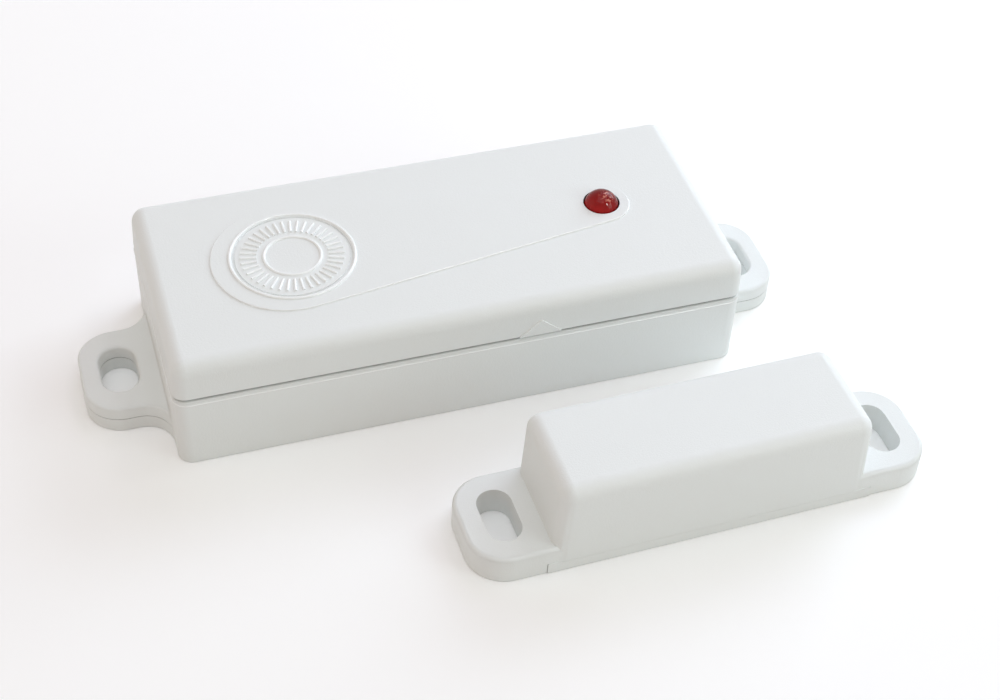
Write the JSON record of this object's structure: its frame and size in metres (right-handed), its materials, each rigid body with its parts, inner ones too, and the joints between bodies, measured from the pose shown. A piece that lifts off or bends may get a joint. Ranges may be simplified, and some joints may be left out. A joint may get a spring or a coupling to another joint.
{
  "type": "magnetic door contact",
  "caption": "Surface-mounted wireless magnetic door contact: a flat box transmitter with a red lamp and slotted ears, and its smaller magnet unit beside it.",
  "frame": {"origin": "middle of the transmitter's back face, which lies on the wall", "axes": "+X along the transmitter's length towards its lamp, -Y towards the magnet unit, +Z out of the wall"},
  "size_m": [0.1074, 0.0649, 0.0197],
  "materials": {
    "white_abs": "spark-eroded moulded ABS, fine matte grain",
    "red_lamp": "clear red cast epoxy, glossy",
    "board_laminate": "glass-fibre laminate under green solder mask",
    "tinned_wire": "tinned wire",
    "nickel_strip": "nickel-plated spring strip",
    "reed_glass": "clear drawn glass",
    "battery_jacket": "steel can with a plain dark sleeve",
    "black_epoxy": "moulded black epoxy",
    "bright_can": "drawn nickel-plated can",
    "copper_strip": "lacquered copper strip",
    "capacitor_can": "aluminium can on a black base",
    "resistor_body": "glazed ceramic chip",
    "capacitor_body": "fired ceramic chip",
    "switch_body": "moulded black nylon",
    "switch_button": "moulded brown acetal",
    "zinc_screw": "zinc-plated steel",
    "ferrite": "pressed and ground ferrite"
  },
  "bodies": {
    "root": {"lid": "white_abs", "base_tray": "white_abs", "back_plate": "white_abs", "circuit_board": "board_laminate", "indicator_lamp": "red_lamp", "lamp_leads": "tinned_wire", "reed_glass": "reed_glass", "reed_leads": "tinned_wire", "battery": "battery_jacket", "positive_contact": "nickel_strip", "negative_contact": "nickel_strip", "microcontroller": "black_epoxy", "crystal": "bright_can", "radio_resonator": "bright_can", "radio_transistor": "black_epoxy", "aerial_loop": "copper_strip", "reservoir_capacitor": "capacitor_can", "chip_resistors": "resistor_body", "chip_capacitors": "capacitor_body", "tamper_switch": "switch_body", "tamper_button": "switch_button", "board_screws": "zinc_screw", "magnet_case": "white_abs", "magnet_plate": "white_abs", "bar_magnet": "ferrite"}
  },
  "joints": []
}
